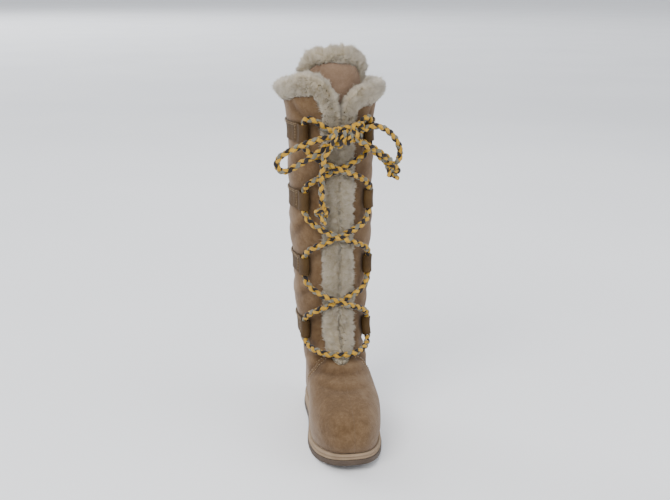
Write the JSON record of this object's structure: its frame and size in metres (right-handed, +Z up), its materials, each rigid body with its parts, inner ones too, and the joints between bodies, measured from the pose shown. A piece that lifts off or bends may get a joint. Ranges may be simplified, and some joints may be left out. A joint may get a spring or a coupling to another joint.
{
  "type": "mukluk boot",
  "caption": "Knee-high shearling mukluk boot, suede outside with wool at its edges, braided lace through leather loops and tied in a bow.",
  "frame": {"origin": "on the floor under the middle of the shaft, on the heel part of the outsole", "axes": "+Z up along the shaft, toe towards -Y, outer side of this left boot towards +X"},
  "size_m": [0.1729, 0.2691, 0.5159],
  "materials": {
    "suede": "napped",
    "wool": "fleecy",
    "strap_leather": "smooth matte",
    "lace": "braided suede strips",
    "midsole": "matte",
    "outsole": "matte"
  },
  "bodies": {
    "root": {"outsole": "outsole", "midsole": "midsole", "insole": "wool", "upper": "suede", "tongue": "suede", "tongue_wool": "wool", "collar_wool": "wool", "throat_wool_inner": "wool", "throat_wool_outer": "wool", "lace_strap_1": "strap_leather", "lace_strap_2": "strap_leather", "lace_strap_3": "strap_leather", "lace_strap_4": "strap_leather", "lace_crossing_1": "lace", "lace_crossing_2": "lace", "lace_crossing_3": "lace", "lace_bottom_bar": "lace", "lace_top_runs": "lace", "bow_knot": "lace", "bow_loop_inner": "lace", "bow_loop_outer": "lace", "lace_end_inner": "lace", "lace_end_outer": "lace", "end_knot_inner": "lace", "end_knot_outer": "lace"}
  },
  "joints": []
}
